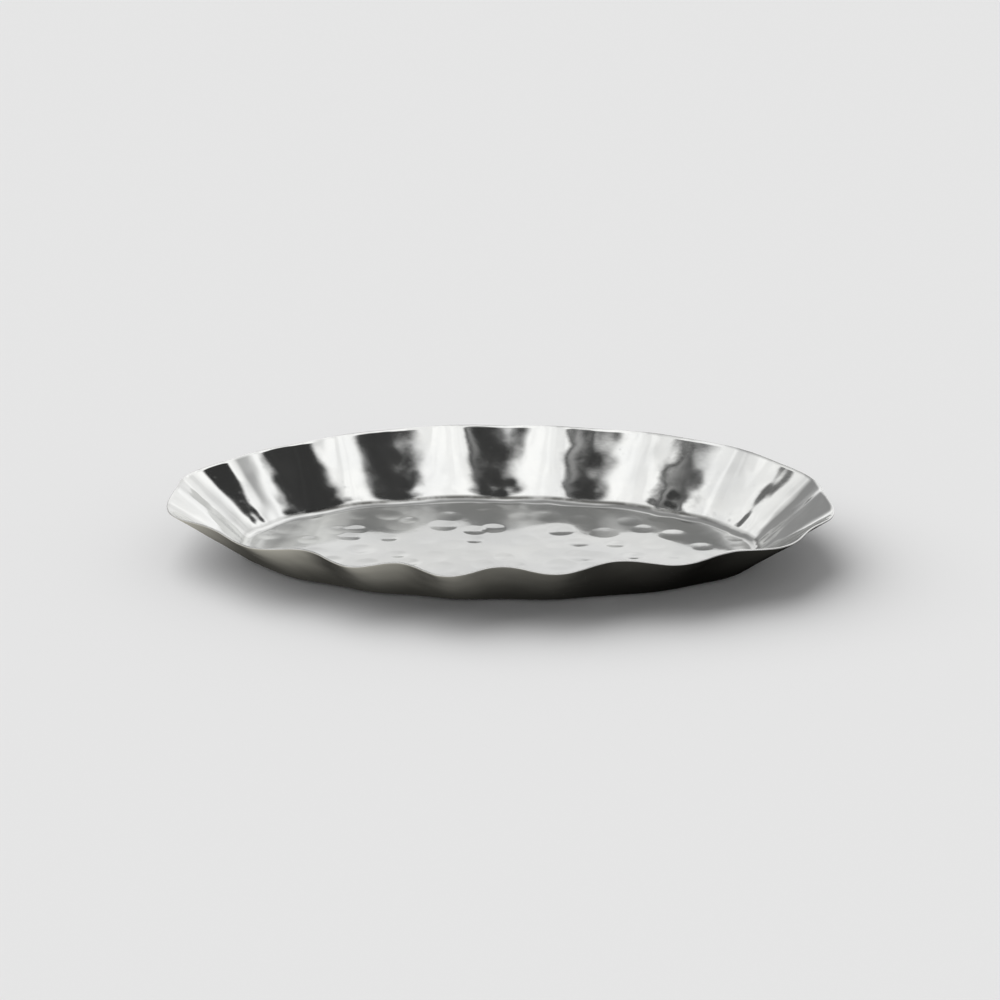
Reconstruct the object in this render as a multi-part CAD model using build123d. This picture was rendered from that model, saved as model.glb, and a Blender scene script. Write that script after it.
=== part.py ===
from build123d import *
from math import atan2, cos, hypot, pi, radians, sin
import os

# Oval serving tray, pressed and hammered from one sheet of polished steel.
# A flat oval floor turns up through a soft crease into a wall that flares outwards.
# The wall is fluted: going round the rim, the metal swings out and in, and it dips
# a little wherever it swings out. The flutes die away down the wall to the crease, and
# as they are worked by eye, no two are quite alike.
# The tray has no foot, no handle and no added rim, so the sheet is its only piece.
# Frame: +Z up, X along the tray, origin at the middle of the flat underside.

# Driving dimensions, in millimetres
FLOOR_LENGTH = 338.0  # the floor's oval, measured to its corner with the wall
FLOOR_WIDTH = 167.0
RIM_HEIGHT = 39.0  # underside of the rim above the table, midway between its ups and downs
WALL_FLARE = 46.0  # how far the rim stands out beyond the floor's corner
SHEET = 1.2  # thickness of the metal
CREASE_RADIUS = 10.0  # bend between floor and wall, on the side the food lies on

# Flutes round the wall
FLUTE_COUNT = 16
FLUTE_SWING = 3.4  # the rim moves this far out and in
FLUTE_DIP = 1.05  # the rim drops this far where it swings out, and lifts where it swings in
FLUTE_START = radians(130)  # where on its wave the first flute stands, at +X
CREASE_SHARE = 0.2  # the flutes' depth at the top of the crease, as a share of the rim's
FLOOR_SHARE = 0.1  # and at the edge of the flat floor

# What the eye left uneven: each row is a slow wave, (waves round the tray, size, lag)
FLUTE_DRIFT = (  # the flutes crowd and spread: radians of their phase
    (1, 0.23, radians(97)),
    (2, 0.15, radians(81)),
    (3, 0.25, radians(150)),
    (4, 0.40, radians(13)),
)
FLUTE_DEPTH = (  # they are deeper along the sides than at the ends: share of their depth
    (1, 0.10, radians(180)),
    (2, 0.35, radians(180)),
)
RIM_WANDER = (  # and the rim wanders in and out from its oval: millimetres
    (1, 2.4, radians(33)),
    (2, 2.3, radians(122)),
    (3, 2.3, radians(-104)),
    (4, 1.3, radians(-24)),
    (5, 2.6, radians(-136)),
)

POINTS_PER_FLUTE = 10
TRACE_STEPS = 4000  # short steps that measure the rim's length

# Worked out from the driving dimensions
FLOOR_HALF_LENGTH = FLOOR_LENGTH / 2
FLOOR_HALF_WIDTH = FLOOR_WIDTH / 2
WALL_ANGLE = atan2(RIM_HEIGHT, WALL_FLARE)
UNDER_RADIUS = CREASE_RADIUS + SHEET
BEND_INSET = UNDER_RADIUS * (1 - cos(WALL_ANGLE)) / sin(WALL_ANGLE)
WALL_RUN = hypot(RIM_HEIGHT, WALL_FLARE) - BEND_INSET


def oval_point(angle):
    """The floor's corner on its ellipse, and the direction straight out from it."""
    x, y = FLOOR_HALF_LENGTH * cos(angle), FLOOR_HALF_WIDTH * sin(angle)
    out_x, out_y = cos(angle) / FLOOR_HALF_LENGTH, sin(angle) / FLOOR_HALF_WIDTH
    size = hypot(out_x, out_y)
    return x, y, out_x / size, out_y / size


def even_stations(count):
    """Ellipse angles whose points lie at equal distances along the rim."""
    angles = [2 * pi * i / TRACE_STEPS for i in range(TRACE_STEPS + 1)]
    lengths = [0.0]
    last = None
    for angle in angles:
        x, y, out_x, out_y = oval_point(angle)
        here = (x + WALL_FLARE * out_x, y + WALL_FLARE * out_y)
        if last is not None:
            lengths.append(lengths[-1] + hypot(here[0] - last[0], here[1] - last[1]))
        last = here
    stations = []
    step = 0
    for i in range(count):
        wanted = lengths[-1] * i / count
        while lengths[step + 1] < wanted:
            step += 1
        share = (wanted - lengths[step]) / (lengths[step + 1] - lengths[step])
        stations.append(angles[step] + share * (angles[step + 1] - angles[step]))
    return stations


def slow_waves(rows, turn):
    """The sum of the slow waves at a turn round the rim."""
    return sum(size * cos(waves * turn - lag) for waves, size, lag in rows)


def flute_wave(turn):
    """About +1 where the wall swings fully out, and -1 where it swings fully in."""
    phase = FLUTE_COUNT * turn + FLUTE_START + slow_waves(FLUTE_DRIFT, turn)
    return cos(phase) * (1 + slow_waves(FLUTE_DEPTH, turn))


STATIONS = even_stations(FLUTE_COUNT * POINTS_PER_FLUTE)
TURNS = [2 * pi * i / len(STATIONS) for i in range(len(STATIONS))]
WAVES = [flute_wave(turn) for turn in TURNS]
WANDERS = [slow_waves(RIM_WANDER, turn) for turn in TURNS]


def closed_line(out, up, depth, dips=True):
    """A closed line round the tray, a given way out from the floor's corner and up from
    the table, with the flutes and the rim's wander at a share of their full depth."""
    points = []
    for angle, wave, wander in zip(STATIONS, WAVES, WANDERS):
        x, y, out_x, out_y = oval_point(angle)
        reach = out + depth * (FLUTE_SWING * wave + wander)
        drop = depth * FLUTE_DIP * wave if dips else 0.0
        points.append(Vector(x + reach * out_x, y + reach * out_y, up - drop))
    return Wire([Edge.make_spline(points, periodic=True)])


def bend_line(radius, share):
    """A line on the crease's arc, share of the way round it from the floor to the wall."""
    turn = share * WALL_ANGLE
    out = radius * sin(turn) - BEND_INSET
    up = UNDER_RADIUS - radius * cos(turn)
    depth = FLOOR_SHARE + share * (CREASE_SHARE - FLOOR_SHARE)
    return closed_line(out, up, depth, dips=share > 0)


def rim_line(radius):
    """The rim's line on the upper or the lower side of the sheet."""
    out = radius * sin(WALL_ANGLE) - BEND_INSET + WALL_RUN * cos(WALL_ANGLE)
    up = UNDER_RADIUS - radius * cos(WALL_ANGLE) + WALL_RUN * sin(WALL_ANGLE)
    return closed_line(out, up, 1.0)


def side_of_sheet(radius):
    """One side of the sheet, with its floor edge and its rim: floor, crease and wall."""
    floor_edge, mid_bend, bend_top = (bend_line(radius, share) for share in (0, 0.5, 1))
    rim = rim_line(radius)
    faces = [Face(floor_edge)]
    faces += Shell.make_loft([floor_edge, mid_bend, bend_top]).faces()
    faces += Shell.make_loft([bend_top, rim], ruled=True).faces()
    return faces, rim


def tray_sheet():
    """The whole tray: its upper side, its underside, and the cut edge between them."""
    upper, upper_rim = side_of_sheet(CREASE_RADIUS)
    under, under_rim = side_of_sheet(UNDER_RADIUS)
    cut_edge = Shell.make_loft([upper_rim, under_rim], ruled=True).faces()
    return Solid(Shell([*upper, *under, *cut_edge]))


os.makedirs("parts", exist_ok=True)
tray = tray_sheet()
box = tray.bounding_box()
print("tray", box.size, "from", box.min, "to", box.max)
print("valid", tray.is_valid, "volume mm3", round(tray.volume))
export_step(tray, "parts/tray_sheet.step")
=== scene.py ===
import math

import bpy
import numpy as np
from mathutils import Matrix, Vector


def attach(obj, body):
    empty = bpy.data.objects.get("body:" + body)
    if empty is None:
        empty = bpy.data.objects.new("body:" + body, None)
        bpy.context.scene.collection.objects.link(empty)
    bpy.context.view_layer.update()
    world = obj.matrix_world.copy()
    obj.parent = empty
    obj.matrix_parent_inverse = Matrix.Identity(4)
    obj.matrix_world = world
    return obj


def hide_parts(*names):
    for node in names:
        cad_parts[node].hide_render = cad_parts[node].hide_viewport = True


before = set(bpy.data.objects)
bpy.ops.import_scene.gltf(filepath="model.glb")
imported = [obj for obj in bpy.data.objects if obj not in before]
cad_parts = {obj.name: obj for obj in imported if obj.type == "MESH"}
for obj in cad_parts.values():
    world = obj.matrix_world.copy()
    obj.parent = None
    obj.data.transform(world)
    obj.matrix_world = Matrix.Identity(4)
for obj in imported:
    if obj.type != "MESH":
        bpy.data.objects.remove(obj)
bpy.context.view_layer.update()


# The camera looks down on the tray's long side from a little right of its middle. It
# aims just above the tray, so that the tray lies a little below the frame's middle.
CAMERA_ELEVATION = math.radians(22.5)
CAMERA_TURN = math.radians(2.46)
CAMERA_DISTANCE = 1.628
AIM_ABOVE = 0.0326
LENS_MM = 89.1

to_camera = Vector((
    math.sin(CAMERA_TURN) * math.cos(CAMERA_ELEVATION),
    -math.cos(CAMERA_TURN) * math.cos(CAMERA_ELEVATION),
    math.sin(CAMERA_ELEVATION),
))
upright = (-to_camera).to_track_quat("-Z", "Y") @ Vector((0, 1, 0))
camera = bpy.data.objects.new("camera", bpy.data.cameras.new("camera"))
camera.location = to_camera * CAMERA_DISTANCE
camera.rotation_mode = "QUATERNION"
camera.rotation_quaternion = (upright * AIM_ABOVE - camera.location).to_track_quat("-Z", "Y")
camera.data.lens = LENS_MM
camera.data.sensor_width = 36.0
camera.data.clip_start = 0.05
camera.data.clip_end = 60.0
bpy.context.scene.collection.objects.link(camera)
bpy.context.scene.camera = camera
bpy.context.scene.view_settings.view_transform = "Standard"


# The tray is one sheet of stainless steel, cut to an oval and pressed to its shape: a
# flat floor, a soft crease, and a flared wall worked into sixteen flutes by eye. The
# face was hammered all over on a stake, and the sheet polished almost to a mirror.
FLOOR_HALF_LENGTH = 0.169
FLOOR_HALF_WIDTH = 0.0835
RIM_HEIGHT = 0.039
WALL_FLARE = 0.046
SHEET = 0.0012
CREASE_RADIUS = 0.010

# The flutes: the rim swings out and in, dips where it swings out, and the swing dies
# away down the wall, to a share of itself at the crease's top and at the floor's edge.
FLUTE_COUNT = 16
FLUTE_SWING = 0.0034
FLUTE_DIP = 0.00105
FLUTE_START = math.radians(130)
CREASE_SHARE = 0.2
FLOOR_SHARE = 0.1

# What the eye left uneven, as slow waves: (waves round the tray, size, lag in degrees).
FLUTE_DRIFT = ((1, 0.23, 97), (2, 0.15, 81), (3, 0.25, 150), (4, 0.40, 13))
FLUTE_DEPTH = ((1, 0.10, 180), (2, 0.35, 180))
RIM_WANDER = (
    (1, 0.0024, 33),
    (2, 0.0023, 122),
    (3, 0.0023, -104),
    (4, 0.0013, -24),
    (5, 0.0026, -136),
)
STROKES = ((61, 1, 40), (83, 1, 200), (97, 1, 310), (118, 0.8, 15), (139, 0.6, 100))

# Hammer blows: broad round ones on the floor, long shallow ones up the wall, and a row
# of small ones that set the wall's foot. Step is their spacing along and across, and
# reach is each one's size in steps.
FLOOR_BLOWS = {"step": (0.023, 0.021), "reach": 0.40, "deep": 0.00042, "crisp": 1.4, "seed": 5}
WALL_BLOWS = {"step": (0.012, 0.020), "reach": 0.75, "deep": 0.00018, "crisp": 2, "seed": 23}
FOOT_BLOWS = {"step": (0.011, 0.010), "reach": 0.7, "deep": 0.00016, "crisp": 2, "seed": 31}
BLOW_SHAKE = 0.32  # how far each stands from its place, in steps
BLOW_DEPTHS = (0.3, 1.0)  # shares of deep, from the lightest blow to the hardest
BLOW_REACHES = (0.75, 1.25)  # and of reach
BLOW_CELLS = 128  # blows either way before their shakes repeat
FOOT_CLIMB = 0.006  # the middle of the foot's strip, up the wall from the floor's corner
FOOT_SPREAD = 0.009
FLOOR_UNEVEN = 0.00016
UNEVEN_ALONG, UNEVEN_BEND, UNEVEN_ACROSS = 0.0137, 0.017, 0.0123  # metres to a radian
UNEVEN_SWAY, UNEVEN_LAG = 1.3, 0.7  # radians
STROKE_DEEP = 0.000012
DULL_HOLLOW = 0.0003  # a mark this deep is as dull as the hollows get

AROUND = 600  # points round the tray
TRACE_POINTS = 8001  # fine points that measure the rim's length
UPPER_RINGS = (75, 9, 30)  # rings on the floor, the bend and the wall
UNDER_RINGS = (8, 6, 26)
EDGE_RINGS = 5
FIRST_RING = 0.012  # the innermost ring, as a share of the floor

MID_RADIUS = CREASE_RADIUS + SHEET / 2
UNDER_RADIUS = CREASE_RADIUS + SHEET
WALL_ANGLE = math.atan2(RIM_HEIGHT, WALL_FLARE)
BEND_INSET = UNDER_RADIUS * math.tan(WALL_ANGLE / 2)
WALL_RUN = math.hypot(RIM_HEIGHT, WALL_FLARE) - BEND_INSET


def oval_stations(count):
    """Points on the floor's corner, an ellipse, and the directions straight out from it.
    They stand at equal distances along the rim: the rim's length is added up over fine
    steps of the ellipse's angle, and that sum is read backwards at equal lengths."""

    def place(angle):
        point = np.stack((FLOOR_HALF_LENGTH * np.cos(angle), FLOOR_HALF_WIDTH * np.sin(angle)), -1)
        out = np.stack((np.cos(angle) / FLOOR_HALF_LENGTH, np.sin(angle) / FLOOR_HALF_WIDTH), -1)
        return point, out / np.linalg.norm(out, axis=-1, keepdims=True)

    fine = np.linspace(0, 2 * np.pi, TRACE_POINTS)
    point, out = place(fine)
    steps = np.linalg.norm(np.diff(point + WALL_FLARE * out, axis=0), axis=1)
    length = np.concatenate(([0], np.cumsum(steps)))
    return *place(np.interp(np.arange(count) / count * length[-1], length, fine)), length[-1]


def slow_waves(rows, turn):
    """The sum of slow waves round the tray: size times the cosine of waves turns, less
    the wave's own lag in degrees."""
    return sum(size * np.cos(waves * turn - math.radians(lag)) for waves, size, lag in rows)


def profile_stations(floor_rings, bend_rings, wall_rings):
    """Rows of (scale, out, up, slope, share) across the middle of the sheet: a flat floor,
    a circular bend and a straight flared wall that stops half the sheet short of the cut
    edge. Scale is of the floor's size, and share is of the flutes' depth."""
    scale = np.linspace(FIRST_RING, 1, floor_rings)
    same = np.ones_like(scale)
    flat = np.stack((scale, -BEND_INSET * same, SHEET / 2 * same, 0 * same, FLOOR_SHARE * same), -1)
    part = np.linspace(0, 1, bend_rings + 1)[1:]
    slope = part * WALL_ANGLE
    bend = np.stack((
        np.ones_like(part),
        MID_RADIUS * np.sin(slope) - BEND_INSET,
        UNDER_RADIUS - MID_RADIUS * np.cos(slope),
        slope,
        FLOOR_SHARE + part * (CREASE_SHARE - FLOOR_SHARE),
    ), -1)
    run = np.linspace(0, WALL_RUN - SHEET / 2, wall_rings + 1)[1:]
    wall = np.stack((
        np.ones_like(run),
        bend[-1, 1] + run * math.cos(WALL_ANGLE),
        bend[-1, 2] + run * math.sin(WALL_ANGLE),
        WALL_ANGLE + 0 * run,
        CREASE_SHARE + run / WALL_RUN * (1 - CREASE_SHARE),
    ), -1)
    return np.concatenate((flat, bend, wall))


def blows(x, y, step, reach, deep, crisp, seed):
    """Depth left by hammer blows on a face, in metres: a sum of round hollows, each deep
    times one less its squared distance over its own reach, raised to the power crisp.
    Their middles stand on a staggered grid, each shaken by a third of a step, and each
    hollow has its own reach and its own depth."""
    draw = np.random.default_rng(seed)
    shaken = draw.uniform(-BLOW_SHAKE, BLOW_SHAKE, (2, BLOW_CELLS, BLOW_CELLS))
    depths = deep * draw.uniform(*BLOW_DEPTHS, (BLOW_CELLS, BLOW_CELLS))
    reaches = reach * draw.uniform(*BLOW_REACHES, (BLOW_CELLS, BLOW_CELLS))
    steps_x, steps_y = x / step[0], y / step[1]
    total = np.zeros(np.broadcast(x, y).shape)
    for i in range(-2, 3):
        for j in range(-2, 3):
            column = np.floor(steps_x).astype(int) + i
            row = np.floor(steps_y).astype(int) + j
            cell = column % BLOW_CELLS, row % BLOW_CELLS
            off_x = steps_x - (column + 0.5 + 0.5 * (row % 2) + shaken[0][cell])
            off_y = steps_y - (row + 0.5 + shaken[1][cell])
            away = (off_x ** 2 + off_y ** 2) / reaches[cell] ** 2
            total += depths[cell] * np.clip(1 - away, 0, 1) ** crisp
    return total


def floor_marks(x, y):
    """The floor's blows, on a slow unevenness: a sine along the floor, itself bent by a
    sine across it, times a cosine across it."""
    sway = UNEVEN_SWAY * np.sin(y / UNEVEN_BEND)
    uneven = np.sin(x / UNEVEN_ALONG + sway) * np.cos(y / UNEVEN_ACROSS + UNEVEN_LAG)
    return blows(x, y, **FLOOR_BLOWS) + FLOOR_UNEVEN * uneven


def wall_marks(along, climb, share):
    """The wall's blows, the foot's blows inside a bell-shaped strip at the wall's foot,
    and fine strokes up the wall that deepen with the flutes' share."""
    foot = np.exp(-((climb - FOOT_CLIMB) / FOOT_SPREAD) ** 2)
    marks = blows(along, climb, **WALL_BLOWS) + foot * blows(along, climb, **FOOT_BLOWS)
    return marks + STROKE_DEEP * stroke * share


turn = np.arange(AROUND) / AROUND * 2 * np.pi
corner, outwards, rim_length = oval_stations(AROUND)
phase = FLUTE_COUNT * turn + FLUTE_START + slow_waves(FLUTE_DRIFT, turn)
wave = np.cos(phase) * (1 + slow_waves(FLUTE_DEPTH, turn))
wander = slow_waves(RIM_WANDER, turn)
stroke = slow_waves(STROKES, turn)


def sheet_face(rows, off, hammered_floor):
    """Points of one face of the sheet, and the depth of the hammer marks at each. A point
    stands out and up from the floor's corner as its row says, plus the flutes' swing, dip
    and wander, plus off along the profile's normal, less the mark. A floor row is the
    floor's outermost line, shrunk by its scale."""
    scale, out, up, slope, share = (rows[:, i, None] for i in range(5))
    on_wall = slope / WALL_ANGLE
    reach = out + share * (FLUTE_SWING * wave + wander)
    drop = on_wall * share * FLUTE_DIP * wave
    plan = (corner + reach[..., None] * outwards) * scale[..., None]
    along, climb = turn / (2 * np.pi) * rim_length, out / math.cos(WALL_ANGLE)
    marks = on_wall * wall_marks(along, climb, share)
    marks = marks + (1 - on_wall) * hammered_floor * floor_marks(plan[..., 0], plan[..., 1])
    off = np.asarray(off).reshape(-1, 1) - marks
    plan = plan - (off * np.sin(slope) * scale)[..., None] * outwards
    points = np.concatenate((plan, (up - drop + off * np.cos(slope))[..., None]), -1)
    return points, marks * np.ones(turn.shape)


upper_rows = profile_stations(*UPPER_RINGS)
under_rows = profile_stations(*UNDER_RINGS)
edge_turn = np.linspace(0, np.pi, EDGE_RINGS + 2)[1:-1]
edge_rows = np.repeat(upper_rows[-1:], len(edge_turn), 0)
edge_rows[:, 1] += SHEET / 2 * np.sin(edge_turn) * math.cos(WALL_ANGLE)
edge_rows[:, 2] += SHEET / 2 * np.sin(edge_turn) * math.sin(WALL_ANGLE)
faces = (
    sheet_face(upper_rows, SHEET / 2, 1),
    sheet_face(edge_rows, SHEET / 2 * np.cos(edge_turn), 1),
    sheet_face(under_rows[::-1], -SHEET / 2, 0),
)
rings = np.concatenate([points for points, marks in faces])
hollows = np.concatenate([marks for points, marks in faces])


def closed_shell(name, rings):
    """A mesh through rings of points, each ring a closed loop, with quads between the
    neighbouring rings and a fan of triangles that closes the first and the last one."""
    count, around = rings.shape[:2]
    number = np.arange(count * around).reshape(count, around)
    beside = np.roll(number, -1, 1)
    quads = np.stack((number[:-1], number[1:], beside[1:], beside[:-1]), -1).reshape(-1, 4)
    first, last = count * around, count * around + 1
    caps = np.concatenate((
        np.stack((np.full(around, first), number[0], beside[0]), -1),
        np.stack((np.full(around, last), beside[-1], number[-1]), -1),
    ))
    points = np.concatenate((rings.reshape(-1, 3), rings[:1].mean(1), rings[-1:].mean(1)))
    mesh = bpy.data.meshes.new(name)
    mesh.from_pydata(points, [], quads.tolist() + caps.tolist())
    mesh.polygons.foreach_set("use_smooth", np.ones(len(mesh.polygons), bool))
    mesh.update()
    piece = bpy.data.objects.new(name, mesh)
    bpy.context.scene.collection.objects.link(piece)
    return piece


def store_at_points(mesh, name, rows):
    """Keeps a value for each point of a closed shell, from rows of one value a point;
    the two points that close it take the mean of the ring beside them."""
    values = np.concatenate((rows.ravel(), [rows[0].mean(), rows[-1].mean()]))
    mesh.attributes.new(name, "FLOAT", "POINT").data.foreach_set("value", values.astype(np.float32))


tray = closed_shell("tray_body", rings)
ring = np.arange(len(rings))[:, None] * np.ones(AROUND)
first_edge = len(upper_rows)
first_under = first_edge + EDGE_RINGS
store_at_points(tray.data, "hollow", np.clip(hollows / DULL_HOLLOW, 0, 1))
store_at_points(tray.data, "cut_edge", ((ring >= first_edge) & (ring < first_under)).astype(float))
store_at_points(tray.data, "underside", (ring >= first_under).astype(float))


def add_node(tree, kind, inputs=(), **settings):
    """Adds a node with its settings, and links or sets each of its inputs."""
    node = tree.nodes.new(kind)
    for name, value in settings.items():
        setattr(node, name, value)
    for name, value in dict(inputs).items():
        if isinstance(value, bpy.types.NodeSocket):
            tree.links.new(value, node.inputs[name])
        else:
            node.inputs[name].default_value = value
    return node


def maths(tree, operation, *values):
    """One step of arithmetic on one, two or three values."""
    return add_node(tree, "ShaderNodeMath", enumerate(values), operation=operation).outputs[0]


def ramp(tree, value, low, high, to_low=0.0, to_high=1.0):
    """Eases from one level to another as the value goes from low to high."""
    inputs = {"Value": value, "From Min": low, "From Max": high, "To Min": to_low, "To Max": to_high}
    return add_node(tree, "ShaderNodeMapRange", inputs, interpolation_type="SMOOTHSTEP").outputs[0]


def blend(tree, share, first, second):
    """A colour between two others."""
    return add_node(tree, "ShaderNodeMix", {0: share, 6: first, 7: second}, data_type="RGBA").outputs[2]


def new_group(name, inputs, outputs):
    """An empty shader group with number inputs, each with its level, and number outputs."""
    group = bpy.data.node_groups.new(name, "ShaderNodeTree")
    kind = "NodeSocketFloat"
    for key, value in inputs.items():
        group.interface.new_socket(key, in_out="INPUT", socket_type=kind).default_value = value
    for key in outputs:
        group.interface.new_socket(key, in_out="OUTPUT", socket_type=kind)
    return group, group.nodes.new("NodeGroupInput").outputs


def noise_at(tree, place, scale, detail, roughness=0.5):
    """A soft noise read at a place."""
    inputs = {"Vector": place, "Scale": scale, "Detail": detail, "Roughness": roughness}
    return add_node(tree, "ShaderNodeTexNoise", inputs).outputs[0]


HAIR_LEVELS = {"Fineness": 1400.0, "Length": 0.03}  # length is a squeeze: less is longer
HAIR_SLANTS = ((8, 14), (63, -20), (-41, 33))  # degrees: the turn on the floor, and the tilt
HAIR_CRESTS = (0.60, 0.74)  # the noise shows from the first level, and fully from the second


def hairlines_group():
    """Fine straight scratches left by the buffing wheel, crossing at three slants: each is
    a noise stretched thin, of which only the crests are kept."""
    group, given = new_group("buffing_hairlines", HAIR_LEVELS, ["Height", "Mask"])
    place = add_node(group, "ShaderNodeTexCoord").outputs["Object"]
    scratched = 0.0
    for slant, tilt in HAIR_SLANTS:
        turns = (math.radians(tilt), math.radians(tilt / 2), math.radians(slant))
        turned = add_node(group, "ShaderNodeMapping", {"Vector": place, "Rotation": turns}).outputs[0]
        along, across, deep = add_node(group, "ShaderNodeSeparateXYZ", {0: turned}).outputs
        squeezed = maths(group, "MULTIPLY", along, given["Length"])
        thin = add_node(group, "ShaderNodeCombineXYZ", {0: squeezed, 1: across, 2: deep}).outputs[0]
        noise = noise_at(group, thin, given["Fineness"], detail=1.0, roughness=0.4)
        scratched = maths(group, "MAXIMUM", scratched, ramp(group, noise, *HAIR_CRESTS))
    level = maths(group, "SUBTRACT", 1.0, scratched)
    add_node(group, "NodeGroupOutput", {"Height": level, "Mask": scratched})
    return group


USE_LEVELS = {"Smear Scale": 22.0, "Spot Scale": 210.0}
PUSH_SCALE, PUSH = 9.0, (0.03, 0.03, 0.03)  # what pushes the smears about, and how far
SMEAR_EDGES = (0.36, 0.68)
SPOT_PLACES_SCALE, SPOT_PLACES = 60.0, (0.58, 0.68)  # the noise that picks where spots dry
SPOT_EDGES = (0.32, 0.10)  # from a spot's rim to its full strength, in cells from its middle


def handling_group():
    """The marks of use: broad soft smears from wiping, whose noise is pushed about by a
    coarser one, and small dull spots of dried water in the cells that a third noise picks."""
    group, given = new_group("wiping_and_spots", USE_LEVELS, ["Smear", "Spots"])
    place = add_node(group, "ShaderNodeTexCoord").outputs["Object"]
    inputs = {"Vector": place, "Scale": PUSH_SCALE, "Detail": 2.0}
    pushed = add_node(group, "ShaderNodeTexNoise", inputs).outputs[1]
    inputs = {0: pushed, 1: PUSH, 2: place}
    moved = add_node(group, "ShaderNodeVectorMath", inputs, operation="MULTIPLY_ADD").outputs[0]
    smear = noise_at(group, moved, given["Smear Scale"], detail=5.0, roughness=0.62)
    cells = add_node(group, "ShaderNodeTexVoronoi", {"Vector": place, "Scale": given["Spot Scale"]})
    few = ramp(group, noise_at(group, place, SPOT_PLACES_SCALE, detail=1.0), *SPOT_PLACES)
    spots = maths(group, "MULTIPLY", ramp(group, cells.outputs["Distance"], *SPOT_EDGES), few)
    add_node(group, "NodeGroupOutput", {"Smear": ramp(group, smear, *SMEAR_EDGES), "Spots": spots})
    return group


STEEL = (0.735, 0.738, 0.722, 1)
WIPED_STEEL = (0.695, 0.700, 0.692, 1)
# painted shade: the dark grey painted into the crease
CREASE_PAINTED_SHADE = (0.13, 0.128, 0.12, 1)
# painted highlight: the cut edge's lighter colour
EDGE_PAINTED_HIGHLIGHT = (0.80, 0.80, 0.79, 1)
CREASE_SHADE_LOW, CREASE_SHADE_HIGH = (0.0019, 0.0030), (0.0048, 0.0032)  # heights where it begins and ends
CREASE_SHADE_SCALE, CREASE_SHADE_PATCHES = 70.0, (0.30, 0.60, 0.55, 1.0)  # it lies in soft patches
CREASE_SHADE_TO_END = (0.115, 0.160, 1.0, 0.35)  # metres from the middle, and its share at each
POLISH = 0.052  # roughness of the clean, buffed face
PLANISH_SCALE, PLANISH_DEEP = 120.0, 0.000028  # the faint waviness that hand work leaves
HAIR_DEEP = 0.000002


def polished_steel():
    """Buffed stainless steel: almost a mirror, a little duller in the hammer marks, where
    the wheel skips, and on the outside. The cut edge is only filed, so duller, and its
    colour is a painted highlight, lighter than the face. The crease is painted dark grey
    in soft patches, painted shade, less of it round the tray's ends; the same mask dulls it."""
    material = bpy.data.materials.new("polished_steel")
    material.use_nodes = True
    tree = material.node_tree
    shader = tree.nodes["Principled BSDF"]
    hairs = add_node(tree, "ShaderNodeGroup", node_tree=hairlines_group()).outputs
    handling = add_node(tree, "ShaderNodeGroup", node_tree=handling_group()).outputs
    hollow, cut_edge, underside = (
        add_node(tree, "ShaderNodeAttribute", attribute_name=name).outputs["Fac"]
        for name in ("hollow", "cut_edge", "underside")
    )
    place = add_node(tree, "ShaderNodeTexCoord").outputs["Object"]
    along, _, height = add_node(tree, "ShaderNodeSeparateXYZ", {0: place}).outputs
    # painted shade in the crease: a dark grey band between two heights, in soft patches, less of it
    # towards the ends and none on the underside; it also dulls the face there
    in_crease = maths(tree, "MULTIPLY", ramp(tree, height, *CREASE_SHADE_LOW), ramp(tree, height, *CREASE_SHADE_HIGH))
    patches = ramp(tree, noise_at(tree, place, CREASE_SHADE_SCALE, detail=4.0), *CREASE_SHADE_PATCHES)
    to_end = ramp(tree, maths(tree, "ABSOLUTE", along), *CREASE_SHADE_TO_END)
    crease_shade = maths(tree, "MULTIPLY", maths(tree, "MULTIPLY", in_crease, patches), to_end)
    crease_shade = maths(tree, "MULTIPLY", crease_shade, maths(tree, "SUBTRACT", 1.0, underside))

    colour = blend(tree, handling["Smear"], STEEL, WIPED_STEEL)
    # painted shade in the crease
    colour = blend(tree, crease_shade, colour, CREASE_PAINTED_SHADE)
    # painted highlight: the cut edge is painted lighter than the face, along the rim
    colour = blend(tree, cut_edge, colour, EDGE_PAINTED_HIGHLIGHT)
    tree.links.new(colour, shader.inputs["Base Color"])

    dullness = POLISH
    for mask, added in (
        (handling["Smear"], 0.030),
        (hairs["Mask"], 0.030),
        (hollow, 0.018),
        (handling["Spots"], 0.09),
        (crease_shade, 0.16),
        (underside, 0.07),
        (cut_edge, 0.14),
    ):
        dullness = maths(tree, "MULTIPLY_ADD", mask, added, dullness)
    tree.links.new(dullness, shader.inputs["Roughness"])

    planished = noise_at(tree, place, PLANISH_SCALE, detail=2.0, roughness=0.45)
    inputs = {"Height": planished, "Strength": 1.0, "Distance": PLANISH_DEEP}
    skin = add_node(tree, "ShaderNodeBump", inputs).outputs[0]
    inputs = {"Height": hairs["Height"], "Strength": 0.5, "Distance": HAIR_DEEP, "Normal": skin}
    tree.links.new(add_node(tree, "ShaderNodeBump", inputs).outputs[0], shader.inputs["Normal"])
    shader.inputs["Metallic"].default_value = 1.0
    return material


tray.data.materials.append(polished_steel())
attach(tray, "root")
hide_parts("tray_sheet")


# The floor is a wide sheet of matt pale paper. What the steel shows of it is set apart
# from how it looks: a glow of painted light on the left, painted shade on the right, and a painted
# shadow close to the tray.
PAPER_REACH = 14.0
PAPER_DROP = 0.0001  # it lies this far under the tray, so that the two faces never meet
PAPER = (0.8, 0.8, 0.8, 1)
# painted light: the glowing colour of the paper as the steel shows it
PAINTED_PAPER_LIGHT = (1.0, 0.965, 0.86, 1)
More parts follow.
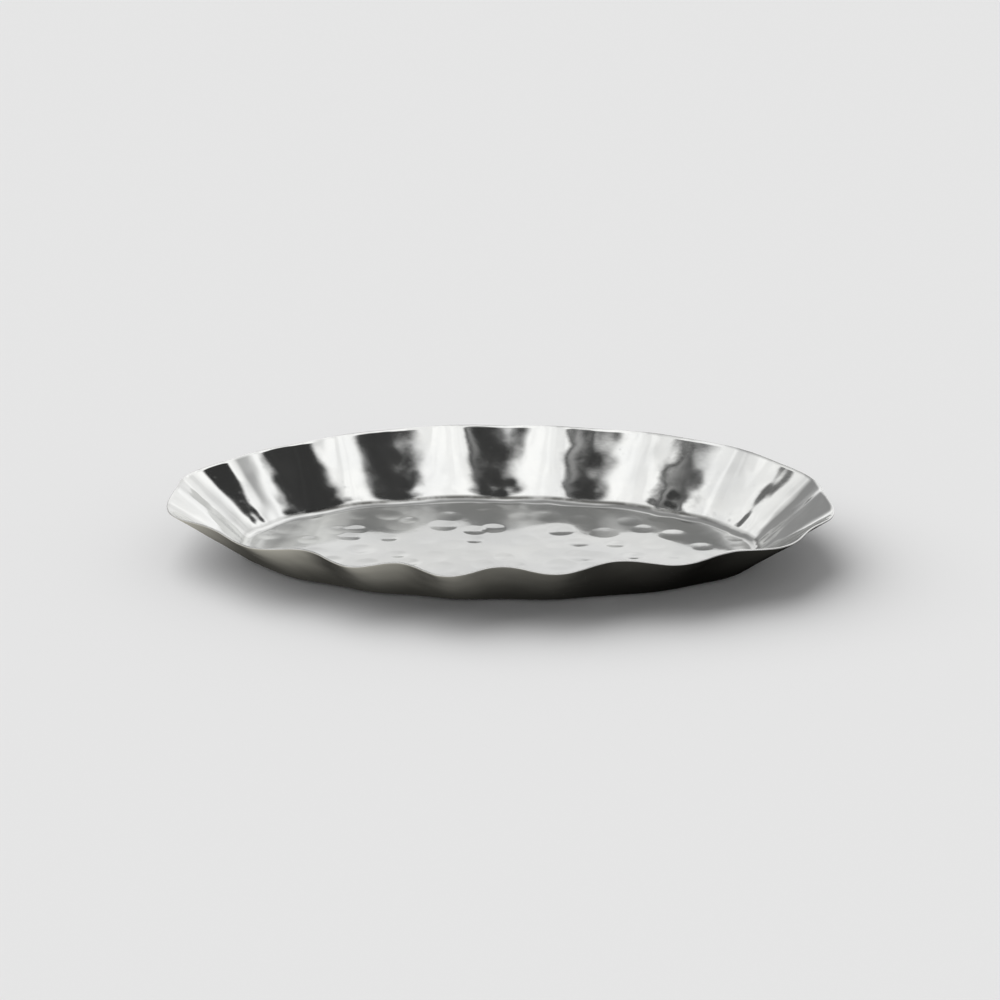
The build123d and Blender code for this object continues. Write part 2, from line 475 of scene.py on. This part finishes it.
# where the glow starts and stops to change, and in the first two its share at each
PAINTED_SHADOW_NEAR = (1.0, 1.42, 0.08, 1.0)  # in half sizes of the tray's floor from its middle
PAINTED_LIGHT_SIDE = (-0.17, 0.13, 0.55, 0.035)  # in metres along the tray
GLOW_ENDS = (1.5, 3.0)  # in half sizes
# painted shade: the paper shows black to light that comes to it by way of the steel
PAINTED_SHADE_BLACK = (0.02, 0.02, 0.02, 1)


def root_of_squares(tree, first, second):
    """The square root of the sum of two squares."""
    squares = maths(tree, "MULTIPLY", first, first), maths(tree, "MULTIPLY", second, second)
    return maths(tree, "SQRT", maths(tree, "ADD", *squares))


def rays_to_steel(tree):
    """Marks the rays that show the camera what the steel mirrors, and those that light the
    paper by way of the steel, which find the paper itself black: painted shade that deepens the tray's
    shadow on the paper."""
    path = add_node(tree, "ShaderNodeLightPath").outputs
    by_steel = path["Is Glossy Ray"]
    from_paper = maths(tree, "GREATER_THAN", path["Diffuse Depth"], 0.5)
    sent_back = maths(tree, "MULTIPLY", by_steel, from_paper)
    return maths(tree, "SUBTRACT", by_steel, sent_back), sent_back


def either(tree, share, first, second):
    """A shader between two others."""
    return add_node(tree, "ShaderNodeMixShader", {0: share, 1: first, 2: second}).outputs[0]


def floor_paper():
    """Matt paper, and its painted glow in the steel. The glow is painted light that falls
    from left to right, with a painted shadow towards the tray, the distance measured in half
    sizes of the tray's own floor; far from the tray it gives way to the lit paper."""
    material = bpy.data.materials.new("floor_paper")
    material.use_nodes = True
    tree = material.node_tree
    tree.nodes.clear()
    place = add_node(tree, "ShaderNodeTexCoord").outputs["Object"]
    along, across, _ = add_node(tree, "ShaderNodeSeparateXYZ", {0: place}).outputs
    away = root_of_squares(tree, maths(tree, "DIVIDE", along, FLOOR_HALF_LENGTH),
                           maths(tree, "DIVIDE", across, FLOOR_HALF_WIDTH))
    near = ramp(tree, away, *PAINTED_SHADOW_NEAR)
    side = ramp(tree, along, *PAINTED_LIGHT_SIDE)
    far = ramp(tree, away, *GLOW_ENDS)
    # painted light and painted shadow: a glow that falls from left to right and towards the tray
    painted_glow = {"Color": PAINTED_PAPER_LIGHT, "Strength": maths(tree, "MULTIPLY", near, side)}
    painted_glow = add_node(tree, "ShaderNodeEmission", painted_glow).outputs[0]
    black = add_node(tree, "ShaderNodeEmission", {"Color": PAINTED_SHADE_BLACK}).outputs[0]
    paper = add_node(tree, "ShaderNodeBsdfDiffuse", {"Color": PAPER}).outputs[0]
    by_steel, sent_back = rays_to_steel(tree)
    shown = either(tree, by_steel, paper, either(tree, far, painted_glow, paper))
    # painted shade under the tray: light from the steel finds the paper black
    shown = either(tree, sent_back, shown, black)
    add_node(tree, "ShaderNodeOutputMaterial", {"Surface": shown})
    return material


paper = bpy.data.objects.new("floor_paper", bpy.data.meshes.new("floor_paper"))
corners = [
    (x * PAPER_REACH, y * PAPER_REACH, -PAPER_DROP) for x, y in ((-1, -1), (1, -1), (1, 1), (-1, 1))
]
paper.data.from_pydata(corners, [], [(0, 1, 2, 3)])
paper.data.materials.append(floor_paper())
bpy.context.scene.collection.objects.link(paper)


# The light on the paper: one very broad soft lamp, high on the left, draws the shadow,
# and the room adds an even grey. The steel doesn't show this lamp: its room is below.
LAMP_POWER = 2.12
LAMP_WIDTH = math.radians(77)
LAMP_FROM = Vector((-0.70, 0.22, 1.0))  # the way to it from the tray

lamp = bpy.data.objects.new("broad_lamp", bpy.data.lights.new("broad_lamp", "SUN"))
lamp.data.energy = LAMP_POWER
lamp.data.angle = LAMP_WIDTH
lamp.rotation_mode = "QUATERNION"
lamp.rotation_quaternion = LAMP_FROM.to_track_quat("Z", "Y")
lamp.visible_glossy = False
bpy.context.scene.collection.objects.link(lamp)


# The room that the steel mirrors is dark, with one great round soft light overhead,
# grey and pale cards behind and beside it, and a card low in front of it. Places in it
# are degrees to the right of straight up, and degrees behind straight up.
BACKDROP = 0.776  # as the camera sees it past the paper's edge
LIGHT_ON_PAPER = 0.44
DARK = 0.052

room = bpy.data.worlds.new("studio")
bpy.context.scene.world = room
room.use_nodes = True
tree = room.node_tree
tree.nodes.clear()
way = add_node(tree, "ShaderNodeTexCoord").outputs["Generated"]
way_x, way_y, way_z = add_node(tree, "ShaderNodeSeparateXYZ", {0: way}).outputs
level = root_of_squares(tree, way_x, way_y)
lean = maths(tree, "MULTIPLY", maths(tree, "ARCTAN2", level, way_z), math.degrees(1))
per_level = maths(tree, "DIVIDE", lean, maths(tree, "MAXIMUM", level, 0.0001))
to_right = maths(tree, "MULTIPLY", way_x, per_level)
to_back = maths(tree, "MULTIPLY", way_y, per_level)


def on_axes(middle, turned):
    """Degrees from a middle, along two axes turned by some degrees from right and back."""
    c, s = math.cos(math.radians(turned)), math.sin(math.radians(turned))
    right = maths(tree, "SUBTRACT", to_right, middle[0])
    back = maths(tree, "SUBTRACT", to_back, middle[1])
    first = maths(tree, "MULTIPLY_ADD", back, s, maths(tree, "MULTIPLY", right, c))
    second = maths(tree, "MULTIPLY_ADD", right, -s, maths(tree, "MULTIPLY", back, c))
    return first, second


def card(under, level, first, second, soft, turned=0.0):
    """Hangs a square card of some brightness over what is there. First and second are where
    it begins and ends along its two axes, and soft is the softness of its four edges."""
    mask = 1.0
    for along, edges, widths in zip(on_axes((0, 0), turned), (first, second), (soft[:2], soft[2:])):
        begins = ramp(tree, along, edges[0] - widths[0], edges[0] + widths[0])
        ends = ramp(tree, along, edges[1] + widths[1], edges[1] - widths[1])
        mask = maths(tree, "MULTIPLY", mask, maths(tree, "MULTIPLY", begins, ends))
    return add_node(tree, "ShaderNodeMix", {0: mask, 2: under, 3: level}).outputs[0]


def round_light(under, level, middle, radii, soft, turned=0.0):
    """Hangs an oval light, or a shade on one, over what is there. It fades between two
    shares of its radii."""
    first, second = on_axes(middle, turned)
    first = maths(tree, "DIVIDE", first, radii[0])
    second = maths(tree, "DIVIDE", second, radii[1])
    mask = ramp(tree, root_of_squares(tree, first, second), soft[1], soft[0])
    return add_node(tree, "ShaderNodeMix", {0: mask, 2: under, 3: level}).outputs[0]


# side cards, right and left
light = card(DARK, 0.50, (54, 170), (-50, 60), (7, 1, 12, 12))
light = card(light, 0.62, (-170, -56), (-50, 60), (1, 7, 12, 12))
# the grey back wall, and a paler card on its right half
light = card(light, 0.38, (-200, 200), (48, 200), (1, 1, 10, 1))
light = card(light, 0.72, (18, 90), (45, 140), (8, 5, 10, 4))
# the round light overhead, its rim cut off at the front left and front right by black
# flags, and a thin black bar across it at the front left
light = round_light(light, 1.30, (-2.2, 50), (57.4, 49.2), (1.04, 1.16), -54.4)
light = card(light, DARK, (20.8, 50), (-46, 46), (2.6, 6, 6, 6), 232)
light = card(light, 0.10, (13.8, 16.6), (-44, -6), (1.5, 1.5, 5, 4), 232)
light = card(light, DARK, (18.3, 70), (0, 52), (2.8, 6, 6, 6), -53)
# low behind it: grey on the right, a window of light in the middle, grey on the left
light = card(light, 0.45, (41, 90), (24, 62), (10, 1, 10, 8))
light = card(light, 0.98, (-24, 24), (58, 120), (12, 10, 9, 4))
light = card(light, 0.38, (-80, -30), (43, 140), (6, 5, 8, 4))
# a small and a large shade on the round light
light = round_light(light, 0.2, (-40, 9), (7, 5), (0.4, 1.2))
light = round_light(light, 0.36, (-14, 36), (22, 22), (0.5, 1.55))
# the card low in front
light = card(light, 1.0, (-60, 60), (-80, -29), (10, 10, 8, 4))
# a faint unevenness over all of it
uneven = ramp(tree, noise_at(tree, way, 5.5, detail=2.0), 0.36, 0.60, 0.86, 1.01)
light = maths(tree, "MULTIPLY", light, uneven)


def plain_light(strength):
    """White light of some strength from every way that is looked."""
    inputs = {"Color": (1, 1, 1, 1), "Strength": strength}
    return add_node(tree, "ShaderNodeBackground", inputs).outputs[0]


by_steel, _ = rays_to_steel(tree)
seen = add_node(tree, "ShaderNodeLightPath").outputs["Is Camera Ray"]
shown = either(tree, seen, plain_light(LIGHT_ON_PAPER), plain_light(BACKDROP))
shown = either(tree, by_steel, shown, plain_light(light))
add_node(tree, "ShaderNodeOutputWorld", {"Surface": shown})
